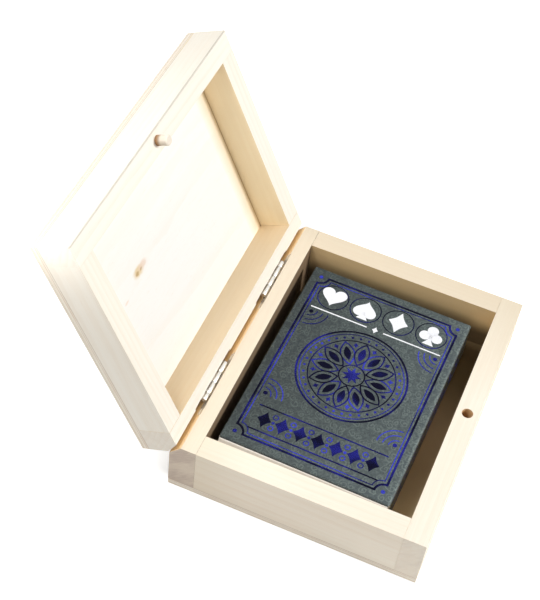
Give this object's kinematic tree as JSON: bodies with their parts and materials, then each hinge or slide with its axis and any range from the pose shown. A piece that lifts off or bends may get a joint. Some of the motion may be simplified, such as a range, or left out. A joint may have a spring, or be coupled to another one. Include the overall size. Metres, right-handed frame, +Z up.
{
  "type": "hinged playing card box",
  "caption": "Small pale wooden box with a hinged lid standing open, a dowel closure and a pack of playing cards inside.",
  "frame": {"origin": "centre of the base's underside", "axes": "+X along the hinge line, +Y towards the hinge side and away from the closure side, +Z up"},
  "size_m": [0.119, 0.1473, 0.1083],
  "materials": {
    "solid_wood": "unfinished, sanded",
    "plywood": "unfinished, sanded",
    "dowel_wood": "unfinished, turned",
    "hinge_metal": "bright nickel plate",
    "printed_carton": "dark grey coated card with cobalt blue foil",
    "card_stock": "smooth coated card"
  },
  "bodies": {
    "base": {"base_bottom_panel": "plywood", "base_left_wall": "solid_wood", "base_right_wall": "solid_wood", "base_back_wall": "solid_wood", "base_front_wall": "solid_wood", "hinge_1_base_leaf": "hinge_metal", "hinge_2_base_leaf": "hinge_metal", "hinge_1_pin": "hinge_metal", "hinge_2_pin": "hinge_metal"},
    "lid": {"lid_top_panel": "plywood", "lid_left_wall": "solid_wood", "lid_right_wall": "solid_wood", "lid_back_wall": "solid_wood", "lid_front_wall": "solid_wood", "closure_dowel": "dowel_wood", "hinge_1_lid_leaf": "hinge_metal", "hinge_2_lid_leaf": "hinge_metal"},
    "pack": {"tuck_case": "printed_carton", "tuck_flap": "printed_carton", "playing_cards": "card_stock"}
  },
  "joints": [
    {"name": "lid_hinge", "type": "hinge", "parent": "base", "child": "lid", "pos_m": [0, 0.04495, 0.0246], "axis": [1, 0, 0], "range_deg": [0, 115.5]},
    {"name": "pack_lift", "type": "slide", "parent": "base", "child": "pack", "axis": [0, 0, 1], "range_m": [0, 0.016]}
  ]
}
